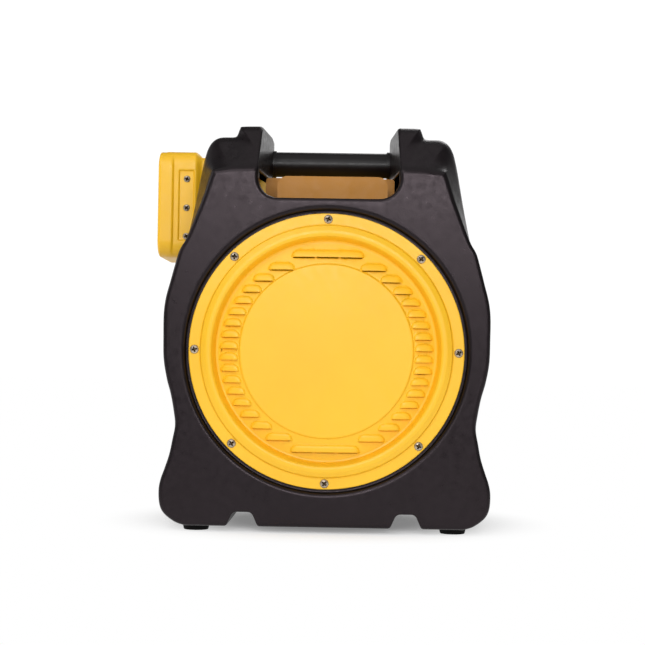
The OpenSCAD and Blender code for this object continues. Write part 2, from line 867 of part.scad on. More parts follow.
module inlet_screws() {
    color(steel) for (s = [-1, 1])
        translate([inlet_pos[0] + s * 20, half_depth + 2.22, inlet_pos[1]])
            rotate([-90, 0, 0]) pan_screw(3, 1.8, 1.6, 12);
}

// -------------------------------------------------------------------- feet

module foot(x, y) {
    color(dark) translate([x, y, 0]) difference() {
        rotate_extrude() polygon([[0, 0], [foot_r - 2, 0], [foot_r - 1.2, 0.5],
            [foot_r, foot_h - 1.5], [foot_r - 0.6, foot_h - 0.02],
            [0, foot_h - 0.02]]);
        translate([0, 0, -1]) cylinder(r = 6, h = 4);
        translate([0, 0, -1]) cylinder(r = 2.4, h = foot_h + 4);
    }
}

module rubber_feet() {
    for (sx = [-1, 1], s = [-1, 1]) foot(sx * foot_x, s * foot_y);
}

module foot_screws() {
    color(steel) for (sx = [-1, 1], s = [-1, 1])
        translate([sx * foot_x, s * foot_y, 2.98]) rotate([180, 0, 0])
            pan_screw(4.6, 2.2, 2.1, 20);
}

// ------------------------------------------------------------------- parts

front_frame_face();
front_frame_band();
front_frame_posts();
rear_frame_band();
rear_frame_face();
rear_frame_posts();
frame_tie_bolts();
frame_inserts();
handle_grip();
handle_rod();
handle_nuts();
front_cover();
rear_cover();
front_cover_screws();
rear_cover_screws();
scroll_front();
scroll_rear();
scroll_screws();
inlet_bellmouth();
bellmouth_screws();
outlet_nozzle();
outlet_grille();
nozzle_screws();
impeller_backplate();
impeller_shroud();
impeller_blades();
impeller_hub();
hub_rivets();
hub_nut();
motor_shaft();
rotor_core();
cooling_fan();
bearing_outers();
bearing_inners();
bearing_balls();
motor_front_bracket();
motor_rear_bracket();
motor_housing();
stator_core();
stator_winding();
motor_through_bolts();
motor_bolt_nuts();
box_brackets();
capacitor_box();
capacitor_box_lid();
terminal_box();
terminal_box_lid();
capacitor();
capacitor_clamp();
terminal_block();
terminal_screws();
switch_body();
switch_rocker();
breaker_body();
breaker_button();
power_inlet();
inlet_pins();
inlet_screws();
rubber_feet();
foot_screws();
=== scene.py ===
import json
import math

import bmesh
import bpy
import numpy as np
import openvdb
from mathutils import Matrix, Vector


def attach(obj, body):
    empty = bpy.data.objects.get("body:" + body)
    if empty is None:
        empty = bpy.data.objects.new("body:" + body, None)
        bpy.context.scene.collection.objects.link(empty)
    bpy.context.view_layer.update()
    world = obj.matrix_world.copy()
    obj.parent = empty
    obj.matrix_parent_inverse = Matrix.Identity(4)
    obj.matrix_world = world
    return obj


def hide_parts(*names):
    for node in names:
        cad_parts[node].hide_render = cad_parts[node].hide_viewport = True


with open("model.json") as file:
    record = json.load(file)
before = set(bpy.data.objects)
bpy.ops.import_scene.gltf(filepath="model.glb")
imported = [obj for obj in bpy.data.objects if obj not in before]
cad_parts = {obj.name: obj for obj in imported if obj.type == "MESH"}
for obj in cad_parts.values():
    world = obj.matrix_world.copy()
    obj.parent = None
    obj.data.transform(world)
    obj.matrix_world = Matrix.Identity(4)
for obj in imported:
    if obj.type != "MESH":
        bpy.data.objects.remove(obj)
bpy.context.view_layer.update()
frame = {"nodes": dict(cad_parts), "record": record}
nodes = frame["nodes"]

# Sizes in millimetres, as in part.scad: x across, y from front to back with the
# joint of the two frame halves at 0, z up from the ground.
HALF = 170.0                      # from the joint to each flat face
AXIS_Z = 216.0                    # height of the shaft
WALL = 3.5
COVER_R = 164.0
SCREW_CIRCLE = 157.0              # radius that the cover screws lie on
OUT_LOW, OUT_TOP = 331.5, 463.0   # the outlet's bottom and top
REACH = 214.0                     # from the middle to the outlet's mouth
PANEL_Y = 75.0                    # the flat panels on the outlet's sides
CONTROL_Y = -60.0                 # the switch and the reset button
SWITCH_Z, BUTTON_Z = 244.5, 211.0
INLET_X, INLET_Z = -128.0, 58.0   # the appliance inlet
TIE_BOLTS = [(-172, 45), (172, 45), (-160, 125), (160, 125), (-172, 300),
             (172, 300), (112, 420)]

# Outlines of a half as (x, z), mirrored in x: the flat face, its top edge, and
# the wider line that the slanted edge runs back to.
FACE = [(165, 7), (177, 11), (190, 21), (195.5, 32), (196.7, 49), (194.3, 62),
        (190.8, 72), (184.9, 90), (181.3, 108), (178.3, 126), (180.7, 145),
        (184.3, 163), (189.6, 182), (193.5, 205), (194.3, 232), (194.3, 258),
        (192, 277), (187, 296), (182, 315), (176.5, 334), (169.5, 346),
        (161.8, 364), (149.3, 396), (140.9, 421), (137.5, 429.5)]
FACE_TOP = [(119.5, 431.6), (107, 432.5), (60, 433.2), (-5, 433.2)]
CREST = [(166, 7), (178.5, 10), (192, 19), (197, 31), (197.5, 49), (195.8, 62),
         (192.5, 72), (187, 90), (183.6, 108), (180.8, 126), (182.8, 145),
         (186, 163), (190.6, 182), (194.3, 205), (194.3, 232), (194.3, 258),
         (193, 277), (189, 296), (184.5, 315), (178, 334), (173, 346),
         (169, 364), (162.5, 398), (156.5, 432), (153, 449), (149.5, 461),
         (143.5, 470.5), (134, 475.6), (117, 476.4), (113.5, 479.5),
         (110.5, 487), (105, 489.7), (60, 490), (-5, 490)]

# ---------------------------------------------------------------- geometry


def spline(points, steps):
    """A smooth line through the points, a few samples to each span."""
    p = np.array([points[0]] + list(points) + [points[-1]], float)
    t = np.linspace(0, 1, steps, endpoint=False)[:, None]
    out = []
    for i in range(1, len(p) - 2):
        a, b, c, d = p[i - 1], p[i], p[i + 1], p[i + 2]
        out.append(0.5 * (2 * b + (c - a) * t + (2 * a - 5 * b + 4 * c - d) * t**2
                          + (3 * b - a - 3 * c + d) * t**3))
    return np.vstack(out + [p[-1:]])


def outline_distance(line, x, z):
    """Signed distance in a plane from a mirrored outline, negative inside."""
    px, pz = np.abs(x), z
    best = np.full(np.broadcast(px, pz).shape, 1e9)
    inside = np.zeros(best.shape, bool)
    closed = np.vstack([[(-5.0, line[0][1])], line])
    for (ax, az), (bx, bz) in zip(closed[:-1], closed[1:]):
        ex, ez = bx - ax, bz - az
        wx, wz = px - ax, pz - az
        t = np.clip((wx * ex + wz * ez) / (ex * ex + ez * ez + 1e-12), 0, 1)
        best = np.minimum(best, (wx - t * ex)**2 + (wz - t * ez)**2)
    ring = np.vstack([closed, closed[:1]])
    for (ax, az), (bx, bz) in zip(ring[:-1], ring[1:]):
        cross = (az > pz) != (bz > pz)
        at = ax + (pz - az) * (bx - ax) / (bz - az if bz != az else 1e-9)
        inside ^= cross & (px < at)
    return np.where(inside, -1, 1) * np.sqrt(best)


def rmax(a, b, r):
    """Intersection of two fields with the edge between them rounded."""
    return (np.minimum(-r, np.maximum(a, b))
            + np.hypot(np.maximum(a + r, 0), np.maximum(b + r, 0)))


def rmin(a, b, r):
    """Union of two fields with the corner between them filled."""
    return -rmax(-a, -b, r)


def slab(v, lo, hi):
    """Field of the space between two planes."""
    return np.maximum(lo - v, v - hi)


def rounded_rect(u, v, hu, hv, r):
    """Field of a rectangle of half sizes hu and hv with rounded corners."""
    qu, qv = np.abs(u) - hu + r, np.abs(v) - hv + r
    return (np.hypot(np.maximum(qu, 0), np.maximum(qv, 0))
            + np.minimum(np.maximum(qu, qv), 0) - r)


def axes(lo, hi, h):
    """Grid lines of a box as three arrays that broadcast together."""
    n = [int(math.ceil((hi[i] - lo[i]) / h)) + 1 for i in range(3)]
    x, y, z = (lo[i] + h * np.arange(n[i], dtype=np.float32) for i in range(3))
    return x[:, None, None], y[None, :, None], z[None, None, :]


def sample(field, lo, h, p):
    """The field at points, by trilinear interpolation."""
    q = (p - lo) / h
    i = np.clip(np.floor(q).astype(int), 0, np.array(field.shape) - 2)
    f = np.clip(q - i, 0, 1)
    out = 0
    for dx in (0, 1):
        for dy in (0, 1):
            for dz in (0, 1):
                w = (np.abs(1 - dx - f[:, 0]) * np.abs(1 - dy - f[:, 1])
                     * np.abs(1 - dz - f[:, 2]))
                out = out + w * field[i[:, 0] + dx, i[:, 1] + dy, i[:, 2] + dz]
    return out


def points_of(mesh):
    """A mesh's points, in mm."""
    p = np.zeros(3 * len(mesh.vertices), np.float32)
    mesh.vertices.foreach_get("co", p)
    return p.reshape(-1, 3).astype(float) * 1000


def slopes(field, lo, h, p):
    """The field's unit slope at points."""
    e = 0.75 * h
    n = np.stack([sample(field, lo, h, p + e * d) - sample(field, lo, h, p - e * d)
                  for d in np.eye(3)], 1)
    return n / np.maximum(np.linalg.norm(n, axis=1, keepdims=True), 1e-9)


def clean(mesh, field, lo, h, inward):
    """Closes up the slivers that thinning folds over."""
    for _ in range(3):
        count = len(mesh.polygons)
        p = points_of(mesh)
        idx = np.zeros(3 * count, np.int32)
        mesh.polygons.foreach_get("vertices", idx)
        idx = idx.reshape(-1, 3)
        a, b, c = p[idx[:, 0]], p[idx[:, 1]], p[idx[:, 2]]
        g = np.cross(b - a, c - a) * inward
        g /= np.maximum(np.linalg.norm(g, axis=1, keepdims=True), 1e-12)
        n = slopes(field, lo, h, p)[idx].mean(1)
        bad = np.where((g * n).sum(1) < 0.35)[0]
        if not len(bad):
            return
        bm = bmesh.new()
        bm.from_mesh(mesh)
        bm.faces.ensure_lookup_table()
        short = {min(bm.faces[i].edges, key=lambda e: e.calc_length()) for i in bad}
        bmesh.ops.collapse(bm, edges=list(short))
        bmesh.ops.dissolve_degenerate(bm, dist=0.00005, edges=bm.edges[:])
        bmesh.ops.triangulate(bm, faces=bm.faces[:])
        bm.to_mesh(mesh)
        bm.free()


def skin(name, field, lo, h, keep=1.0, flip_y=False):
    """A mesh on the field's zero level, thinned to a share of its faces, with
    the field's own slope as its normals."""
    lo = np.array(lo, float)
    grid = openvdb.FloatGrid(3 * h)
    grid.copyFromArray(np.clip(field, -3 * h, 3 * h).astype(np.float32))
    pts, tris, quads = grid.convertToPolygons(0.0, 0.0)
    pts = pts.astype(float) * h + lo
    tris = np.vstack([tris.reshape(-1, 3), quads[:, [0, 1, 2]], quads[:, [0, 2, 3]]])
    mesh = bpy.data.meshes.new(name)
    mesh.vertices.add(len(pts))
    mesh.vertices.foreach_set("co", (pts * 0.001).astype(np.float32).ravel())
    mesh.loops.add(3 * len(tris))
    mesh.loops.foreach_set("vertex_index", tris.astype(np.int32).ravel())
    mesh.polygons.add(len(tris))
    mesh.polygons.foreach_set("loop_start", np.arange(0, 3 * len(tris), 3, dtype=np.int32))
    mesh.update(calc_edges=True)
    obj = bpy.data.objects.new(name, mesh)
    bpy.context.scene.collection.objects.link(obj)
    if keep < 1:
        mod = obj.modifiers.new("thin", "DECIMATE")
        mod.ratio = keep
        done = bpy.data.meshes.new_from_object(
            obj.evaluated_get(bpy.context.evaluated_depsgraph_get()))
        obj.modifiers.clear()
        obj.data = done
        bpy.data.meshes.remove(mesh)
        mesh = done
        mesh.name = name
        face = mesh.polygons[len(mesh.polygons) // 2]
        at = np.array([face.center[:]]) * 1000
        turn = slopes(field, lo, h, at)[0] @ np.array(face.normal)
        clean(mesh, field, lo, h, 1 if turn > 0 else -1)
    p = points_of(mesh)
    n = slopes(field, lo, h, p)
    # the surface must face out of the solid
    face = mesh.polygons[len(mesh.polygons) // 2]
    if Vector(n[face.vertices[0]]).dot(face.normal) < 0:
        mesh.flip_normals()
    if flip_y:
        p[:, 1] *= -1
        n[:, 1] *= -1
        mesh.vertices.foreach_set("co", (p * 0.001).astype(np.float32).ravel())
        mesh.flip_normals()
    mesh.polygons.foreach_set("use_smooth", np.ones(len(mesh.polygons), bool))
    mesh.update()
    mesh.normals_split_custom_set_from_vertices(n.astype(np.float32).tolist())
    return obj


def vertex_normals(mesh):
    """The normal that each vertex is shaded with."""
    loops = np.zeros(3 * len(mesh.loops), np.float32)
    mesh.corner_normals.foreach_get("vector", loops)
    idx = np.zeros(len(mesh.loops), np.int32)
    mesh.loops.foreach_get("vertex_index", idx)
    n = np.zeros((len(mesh.vertices), 3))
    n[idx] = loops.reshape(-1, 3)
    return n


def attribute(obj, name, values):
    """A value at every vertex, for the object's material to read."""
    a = obj.data.attributes.new(name, "FLOAT", "POINT")
    a.data.foreach_set("value", np.asarray(values, np.float32))


# ------------------------------------------------------------------- frame

FACE_LINE = np.vstack([spline(FACE, 6), spline(FACE_TOP, 2)])
CREST_LINE = spline(CREST, 6)
SLANT = 48                  # depth of the slant between the two outlines
SLANT_BLEND = 0.22          # how softly it ends, as a share of its depth
GAP_Y, GAP_HALF = [-HALF, -122, -20, 0], [85, 82, 75, 75]
GAP_LOW, GAP_ROUND = 398, 24
NOTCH_X, NOTCH_HALF, NOTCH_TOP = 97, 19, 24
NOTCH_LEAN, NOTCH_FOOT = 0.44, 6
RECESS_R, RECESS_DEPTH = 168, 7
MOUTH_R = 150               # hole in the face behind the cover
JOINT_GAP = 0.15            # clear of the other half
WINDOW_X, WINDOW_HALF = 131.5, 78       # the outlet's way through the side
UNDER_X, UNDER_Y, UNDER_Z = 90, 150, (350, 432)   # room under the handle
CUP_R, CUP_BORE_R = 9.5, 7  # around a tie bolt's head
CUP_Y, FLOOR_Y = 150, 160   # how far in the cup reaches, and its bottom


def shell_fields(x, y, z, rear):
    """Fields of a frame half, drawn as the front one: its side wall, the handle
    gap, and the whole moulding."""
    # the slant eases from the face's outline to the crest's
    face = outline_distance(FACE_LINE, x, z)
    crest = outline_distance(CREST_LINE, x, z)
    u = (y + HALF) / SLANT
    w = np.clip(0.5 + 0.5 * (1 - u) / SLANT_BLEND, 0, 1)
    t = (1 - w) + u * w - SLANT_BLEND * w * (1 - w)
    side = (1 - t) * face + t * crest
    # the outside, with the handle gap, the notches under it and the cover's seat
    body = rmax(side, -HALF - y, 4.5)
    half_gap = np.interp(y, GAP_Y, GAP_HALF)
    gap = rmax(np.abs(x) - half_gap, GAP_LOW - z, GAP_ROUND)
    notch_side = np.abs(np.abs(x) - NOTCH_X) - (NOTCH_HALF - (z - NOTCH_FOOT) * NOTCH_LEAN)
    notch = rmax(notch_side * 0.9, z - NOTCH_TOP, 4)
    r = np.hypot(x, z - AXIS_Z)
    recess = np.maximum(r - RECESS_R, y + (HALF - RECESS_DEPTH))
    out = rmax(body, -gap, 4.0)
    out = rmax(out, -notch, 2.0)
    out = rmax(out, -recess, 5.5)
    # the inside, one wall further in
    cavity = np.maximum(side + WALL, -HALF + WALL - y)
    cavity = np.maximum(cavity, -(gap - WALL))
    cavity = np.maximum(cavity, -(notch - WALL))
    seat = np.maximum(r - (RECESS_R + WALL), y + (HALF - RECESS_DEPTH - WALL))
    cavity = np.maximum(cavity, -seat)
    solid = rmax(out, -cavity, 0.8)
    solid = np.maximum(solid, MOUTH_R - r)
    solid = np.maximum(solid, y + JOINT_GAP)
    # windows for the outlet and for the boxes under the handle
    window = np.maximum(np.maximum(x + WINDOW_X, np.abs(y) - WINDOW_HALF),
                        slab(z, OUT_LOW - 2, OUT_TOP + 1.5))
    solid = rmax(solid, -window, 0.8)
    under = np.maximum(slab(x, -UNDER_X, UNDER_X), -UNDER_Y - y)
    under = np.maximum(under, slab(z, *UNDER_Z))
    solid = rmax(solid, -under, 1.2)
    if rear:
        solid = rear_holes(solid, x, y, z)
    else:
        solid = control_holes(solid, x, y, z)
    return side, gap, solid


def rear_holes(solid, x, y, z):
    """Cups for the tie bolts' heads, and the appliance inlet's hole."""
    for bx, bz in TIE_BOLTS:
        bore = np.hypot(x - bx, z - bz)
        cup = np.maximum(np.maximum(bore - CUP_R, -166.6 - y), y + CUP_Y)
        solid = rmin(solid, cup, 1.0)
        solid = rmax(solid, -np.maximum(bore - CUP_BORE_R, y + FLOOR_Y), 1.0)
    port = rounded_rect(x - INLET_X, z - INLET_Z, 14.3, 10.3, 2)
    port = np.maximum(port, -HALF - 5 - y)
    return np.maximum(solid, -np.maximum(port, y + FLOOR_Y))


def control_holes(solid, x, y, z):
    """Holes in the left side for the switch and the reset button."""
    along = y - CONTROL_Y
    switch = np.maximum(rounded_rect(along, z - SWITCH_Z, 11, 7.3, 1), x + 180)
    solid = np.maximum(solid, -switch)
    button = np.maximum(np.hypot(along, z - BUTTON_Z) - 5.1, x + 180)
    return np.maximum(solid, -button)


def frame_half(name, rear):
    """One half of the frame, with a rim value that paints shade on its edges."""
    h = 1.5
    lo = np.array((-201.0, -174.0, 2.5))
    x, y, z = axes(lo, (201.0, 3.0, 494.0), h)
    side, gap, solid = shell_fields(x, y, z, rear)
    obj = skin(name, solid, lo, h, keep=0.22, flip_y=rear)
    # painted shade along the rounded rim of the face, by how near each point is to it
    p = points_of(obj.data)
    if rear:
        p[:, 1] *= -1
    near = np.minimum(np.abs(sample(side, lo, h, p)), np.abs(sample(gap, lo, h, p)))
    rim = np.clip(1 - np.abs(p[:, 1] + HALF - 2.5) / 5, 0, 1) * np.clip(1 - near / 6, 0, 1)
    # and a painted shadow ring at the edge of the cover's recess
    ring_r = np.hypot(p[:, 0], p[:, 2] - AXIS_Z)
    rim = np.maximum(rim, 0.9 * np.exp(-((ring_r - RECESS_R - 1) / 3.2)**2))
    attribute(obj, "rim", rim)
    return obj


# ------------------------------------------------------------------- cover

# The cover's front surface as (radius, height over the frame's face).
COVER_PROFILE = [(0, 0), (102.4, 0), (103.1, -0.6), (104.4, -2.2), (106, -2.4),
                 (129.5, -8.7), (132, -8.2), (136.8, 0.8), (138.6, 1.8), (140.5, 2.0),
                 (143.5, 1.7), (149.4, -1.2), (150.2, -3.4), (151, -4), (170, -4)]
SHEET = 2.8                 # thickness
LIP = 4.1                   # how far a louvre stands off the cover
ROWS, PITCH = 16, 13.5      # rows of louvres on each side of the disc
RING_IN, RING_OUT = 104.5, 127.2
BOW, BOW_AT = 7.2, 100.5    # how far the outer ends draw in at the last rows
NEAR_EDGE = 4.3             # from a row's line towards the shaft, where its ends are set


def hoods():
    """Plan of each louvre: middle x, half width, low edge, slot below the lip."""
    out = []
    for k in range(ROWS):
        row = (k - (ROWS - 1) / 2) * PITCH
        near = abs(row) - NEAR_EDGE
        x0 = math.sqrt(RING_IN**2 - near**2)
        x1 = math.sqrt((RING_OUT - BOW * (row / BOW_AT)**2)**2 - near**2)
        # only the upper rows are open through the sheet
        slot = max(0.0, (row - 60) / 40 * 0.5)
        for s in (-1, 1):
            out.append((s * (x0 + x1) / 2, (x1 - x0) / 2, row - 5.3, slot))
    # a long one above the disc and one below it
    out.append((0.0, 43.0, 111.6, 0.9))
    out.append((0.0, 41.0, -120.2, 0.1))
    return out


def swelling(past, v, turn, height):
    """How far a louvre has risen, from 0 to 1.  It falls away upwards, and at its
    ends, where past is how far a point lies into the turn."""
    end = np.clip(past / turn, 0, 1.3)**2.3
    return np.sqrt(np.clip(1 - end - (np.clip(v, 0, 12) / height)**2.4, 0, 1))


def press_louvre(sheet, high, x, y, z, plan):
    """Adds one louvre to the sheet's field, in place."""
    mx, half, low, slot = plan
    ix = np.where(np.abs(x[:, 0, 0] - mx) < half + 4)[0]
    iz = np.where((z[0, 0, :] > low - 5) & (z[0, 0, :] < low + 13))[0]
    xs, zs = slice(ix[0], ix[-1] + 1), slice(iz[0], iz[-1] + 1)
    u = np.abs(x[xs] - mx)
    v = z[:, :, zs] - low
    base = high[xs, :, zs]
    turn = min(9.5, half * 0.86)
    swell = swelling(u - half + turn, v, turn, 8.8)
    outer = np.maximum((y - base - LIP * swell**0.8) * 0.85, -v)
    outer = np.maximum(outer, base - 2 - y)
    outer = np.maximum(outer, (0.1 - swell) * 6)
    room = swelling(u - half + turn + 1.4, v, turn, 7.2)
    hollow = (y - base - LIP * room**0.8 + 1.7) * 0.85
    deep = 5.0 if slot > 0.05 else 0.7
    hollow = np.maximum(hollow, np.maximum(-slot - v, v - deep))
    hollow = np.maximum(hollow, u - half + 1.8)
    if half > 30:
        # ribs part the two long ones into three
        hollow = np.maximum(hollow, 1.1 - np.abs(u - half / 3))
    part = rmin(sheet[xs, :, zs], outer, 0.8)
    sheet[xs, :, zs] = rmax(part, -hollow, 0.4)


def plain_sheet(x, y, z):
    """Field of the cover without louvres, and the height of its front."""
    r = np.hypot(x, z)
    prof = np.array(COVER_PROFILE, float)
    step = 0.1
    rr = np.arange(0, 180, step)
    top = np.interp(rr, prof[:, 0], prof[:, 1]) + HALF
    # a short running mean rounds the profile's corners
    kernel = np.hanning(13)
    kernel /= kernel.sum()
    top = np.convolve(np.pad(top, 6, mode="edge"), kernel, "valid")
    steep = 1 / np.sqrt(1 + np.gradient(top, step)**2)
    high = np.interp(r, rr, top)
    cosine = np.interp(r, rr, steep)
    sheet = np.maximum((y - high) * cosine, (high - SHEET / cosine - y) * cosine)
    return rmax(sheet, r - COVER_R, 0.9), high


def painted_cover_shade(p):
    """Painted shade at each point: in the valley inside the crown, or under a louvre's
    lip.
    """
    away = np.hypot(p[:, 0], p[:, 2])
    painted_shade = 0.62 * np.exp(-((away - 133.2) / 3.0)**2)
    # painted shade lines at the step by the disc and at the flange's step
    painted_shade += 0.5 * np.exp(-((away - 103.6) / 0.9)**2) + 0.5 * np.exp(-((away - 150) / 1)**2)
    for mx, half, low, _ in hoods():
        u, v = np.abs(p[:, 0] - mx), p[:, 2] - low
        lip = np.exp(-((v + 0.2) / 1.3)**2) * np.clip((half - u) / 2, 0, 1)
        painted_shade = np.maximum(painted_shade, 0.6 * lip)
    return np.clip(painted_shade, 0, 1)


def cover(name, rear):
    """Local axes: x across, y out of the face from the joint, z up from the shaft."""
    h = 0.85
    lo = (-166.0, 154.0, -166.0)
    x, y, z = axes(lo, (166.0, 178.0, 166.0), h)
    sheet, high = plain_sheet(x, y, z)
    for plan in hoods():
        press_louvre(sheet, high, x, y, z, plan)
    obj = skin(name, sheet, lo, h, keep=0.3)
    p = points_of(obj.data)
    # painted shade in the valley, at the steps and under the louvres' lips
    attribute(obj, "rim", painted_cover_shade(p))
    # stand it on the shaft, facing -Y or +Y
    flip = 1 if rear else -1
    m = Matrix(((0.001, 0, 0, 0), (0, 0.001 * flip, 0, 0), (0, 0, 0.001, AXIS_Z / 1000),
                (0, 0, 0, 1)))
    return place(obj, p, m, flip < 0)


def place(obj, p, m, mirrored):
    """Moves a mesh's points, in mm, by a matrix, keeping its own normals."""
    mesh = obj.data
    a = np.array(m)
    q = p @ a[:3, :3].T + a[:3, 3]
    n = vertex_normals(mesh) @ np.linalg.inv(a[:3, :3] * 1000)
    n /= np.maximum(np.linalg.norm(n, axis=1, keepdims=True), 1e-9)
    mesh.vertices.foreach_set("co", q.astype(np.float32).ravel())
    if mirrored:
        mesh.flip_normals()
    mesh.update()
    mesh.normals_split_custom_set_from_vertices(n.astype(np.float32).tolist())
    return obj


# ------------------------------------------------------------------ outlet

RIM_HALF, NECK_HALF, DUCT_HALF = 80, 77, 73     # half depths, along y
RIM_END = -195
NECK_START, NECK_END = -205, -131      # along x, from inside the rim to the frame
TUCK_AT, TUCK_LENGTH, TUCK = -169, 9, 6.0
PANEL_X, PANEL_Z = (-188, -169.5), (352, 439)


def outlet():
    """The nozzle: a rim around the mouth, a neck that tucks into the frame, a flat
    panel on each side for its screws, and the duct through all of it."""
    h = 1.0
    lo = (-222.0, -83.0, 326.0)
    x, y, z = axes(lo, (-128.0, 83.0, 480.0), h)
    mid = (OUT_LOW + OUT_TOP) / 2
    tall = (OUT_TOP - OUT_LOW) / 2
    rim = rounded_rect(y, z - mid, RIM_HALF, tall, 20)
    rim = rmax(rim, slab(x, -REACH, RIM_END), 3.2)
    fade = np.clip((x - TUCK_AT) / TUCK_LENGTH, 0, 1)
    tuck = TUCK * fade * fade * (3 - 2 * fade)
    neck = rounded_rect(y, z - mid, NECK_HALF, tall + 0.5, 17) + tuck * 0.9
    neck = rmax(neck, slab(x, NECK_START, NECK_END), 1.0)
    body = rmin(rim, neck, 0.8)
    panel = np.maximum(slab(x, *PANEL_X), slab(z, *PANEL_Z))
    panel = rmax(panel, PANEL_Y - np.abs(y), 0.8)
    body = rmax(body, -panel, 1.4)
    duct = rounded_rect(y, z - mid, DUCT_HALF, tall - 3, 14) + tuck * 0.5
    flare = 1.6 * np.clip((-REACH + 8 - x) / 8, 0, 1)**2
    body = rmax(body, -(duct - flare), 2.4)
    return skin("outlet_body", body, lo, h, keep=0.3)


# ------------------------------------------------------------------ screws

CROSS_HALF = 0.85           # half width of the cross slot
CROWN = 0.72                # the dome's share of the head's height
STUB = 2.5                  # stem drawn in the grid, before it is drawn out


def screws(name, head_r, head_h, shank_r, length, places):
    """Domed cross-slot screws.  Each place is a seat point and the way out."""
    h = 0.2
    lo = (-head_r - 1, -head_r - 1, -3.0)
    x, y, z = axes(lo, (head_r + 1, head_r + 1, head_h + 1), h)
    r = np.hypot(x, y)
    crown = head_h * CROWN
    ball = (head_r**2 + crown**2) / (2 * crown)
    dome = np.sqrt(r * r + (z - head_h + ball)**2) - ball
    head = rmax(rmax(dome, r - head_r, 0.3), -z, 0.15)
    stem = np.maximum(r - shank_r, -STUB - z)
    cross = np.maximum(np.minimum(np.abs(x), np.abs(y)) - CROSS_HALF,
                       np.maximum(np.abs(x), np.abs(y)) - head_r * 0.6)
    well = np.abs(x) + np.abs(y) - head_r * 0.36
    cross = np.minimum(cross, well) + (head_h - z) * 0.32 - 0.15
    head = rmax(head, -np.maximum(cross, head_h * 0.28 - z), 0.18)
    one = skin(name, np.minimum(head, stem), lo, h, keep=0.5)
    # painted shade: the cross recess and the edge of the head are darkened
    base = points_of(one.data)
    arm = np.minimum(np.abs(base[:, 0]), np.abs(base[:, 1]))
    far = np.maximum(np.abs(base[:, 0]), np.abs(base[:, 1]))
    dark = 0.95 * ((arm < 1.0) & (far < head_r * 0.64) & (base[:, 2] > 0.2))
    dark = np.maximum(dark, 0.7 * np.clip(np.hypot(base[:, 0], base[:, 1])
                                          - head_r + 0.8, 0, 1))
    # the short stem is drawn out to its full length
    low = base[:, 2] < -2.2
    base[low, 2] += STUB - length
    slope = vertex_normals(one.data)
    verts, faces, normals = [], [], []
    flat = [list(p.vertices) for p in one.data.polygons]
    for k, (at, out) in enumerate(places):
        out = Vector(out).normalized()
        turn = Matrix.Rotation(0.5 + 1.9 * k, 3, "Z")
        m = np.array(out.to_track_quat("Z", "Y").to_matrix() @ turn)
        verts.append(base @ m.T + np.array(at, float))
        normals.append(slope @ m.T)
        faces += [[v + k * len(base) for v in f] for f in flat]
    mesh = bpy.data.meshes.new(name)
    mesh.from_pydata((np.vstack(verts) * 0.001).tolist(), [], faces)
    mesh.polygons.foreach_set("use_smooth", np.ones(len(mesh.polygons), bool))
    mesh.update()
    mesh.normals_split_custom_set_from_vertices(np.vstack(normals).tolist())
    one.data = mesh
    attribute(one, "rim", np.tile(dark, len(places)))
    return one


# --------------------------------------------------------------- materials

